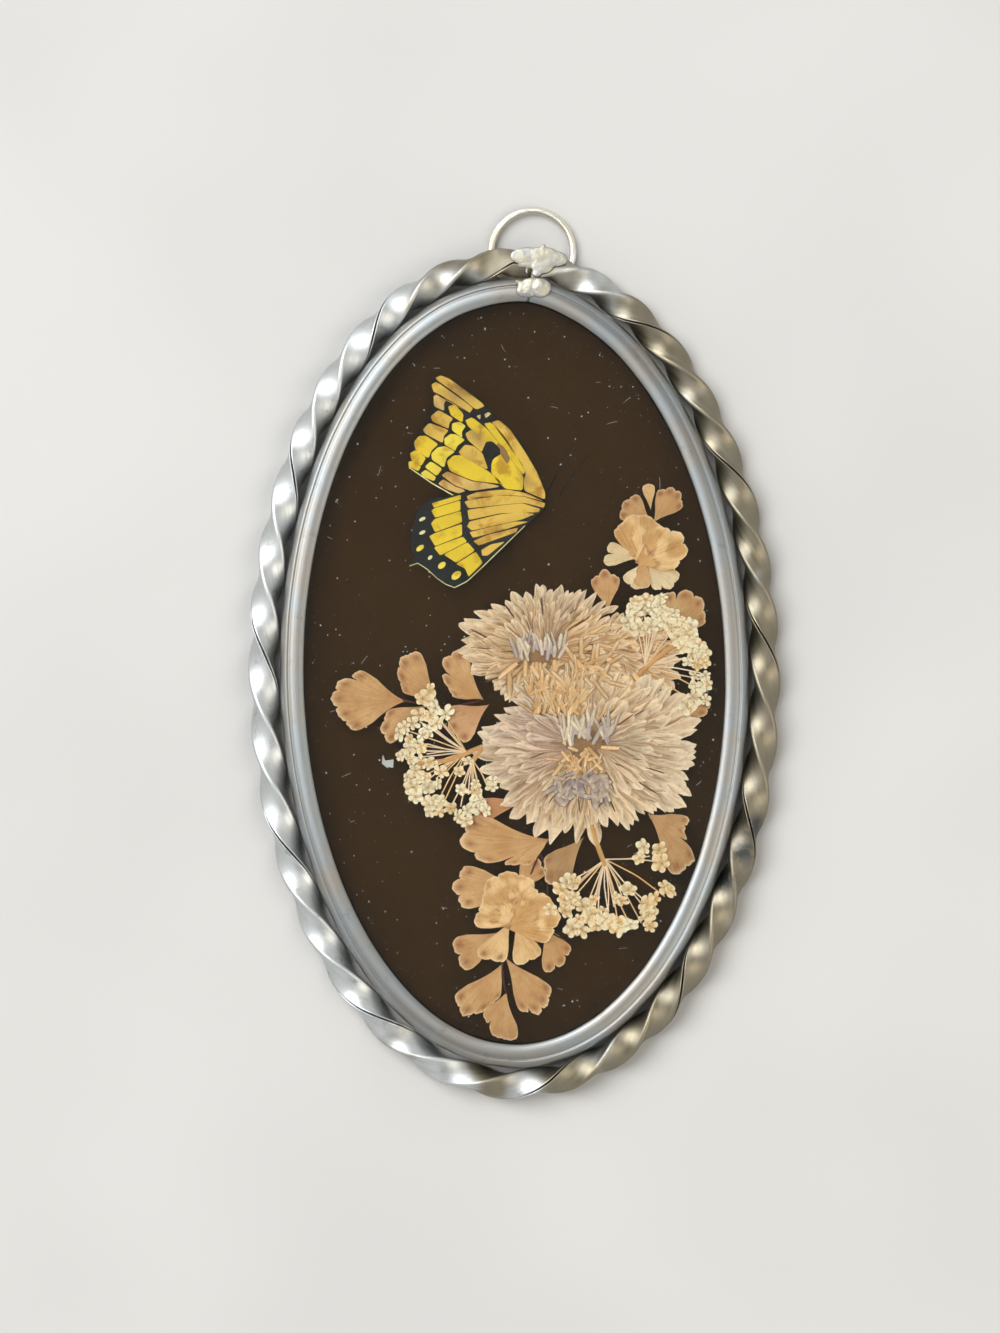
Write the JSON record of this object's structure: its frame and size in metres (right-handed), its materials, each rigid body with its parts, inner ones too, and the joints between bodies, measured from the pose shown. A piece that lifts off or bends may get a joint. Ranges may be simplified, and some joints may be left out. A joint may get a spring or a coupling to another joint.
{
  "type": "pressed flower frame",
  "caption": "Oval glass frame with a twisted metal border and a hanging loop, with pressed flowers, fern and butterfly wings between its panes.",
  "frame": {"origin": "middle of the base, on the surface that the frame lies on, under the middle of its whole outline with the loop", "axes": "+Z out of the front pane, +Y along the oval towards the hanging loop, +X to the right seen from the front"},
  "size_m": [0.0956, 0.1604, 0.0069],
  "materials": {
    "came_metal": "aged satin zinc came, fine draw lines along its length",
    "border_metal": "aged satin zinc strip, brushed along the twist, dark tarnish spots",
    "loop_metal": "tinned wire, softly polished",
    "solder": "cold solder, frosted grey with a cream tint",
    "clear_glass": "clear polished pane",
    "bronze_glass": "dark brown tinted pane",
    "wing": "dry wing, yellow with black veins and bands",
    "petals": "dry papery petals, tan to grey lavender",
    "florets": "dry cream florets on pale stalks",
    "fern": "dry tan fern leaflets with darker dots near the rim"
  },
  "bodies": {
    "root": {"came_frame": "came_metal", "border_twist": "border_metal", "hanging_loop": "loop_metal", "solder_border_joint": "solder", "solder_came_joint": "solder", "solder_loop_back": "solder", "glass_front": "clear_glass", "glass_back": "bronze_glass", "butterfly_forewing": "wing", "butterfly_hindwing": "wing", "flower_upper": "petals", "flower_lower": "petals", "flower_behind": "petals", "umbel_right": "florets", "umbel_left": "florets", "umbel_left_small": "florets", "umbel_lower": "florets", "fern_left": "fern", "fern_top": "fern", "fern_bottom": "fern", "fern_leaf_upper": "fern", "fern_leaf_upper_right": "fern", "fern_leaf_right": "fern", "fern_leaf_lower_right": "fern", "fern_leaf_lower": "fern"}
  },
  "joints": []
}
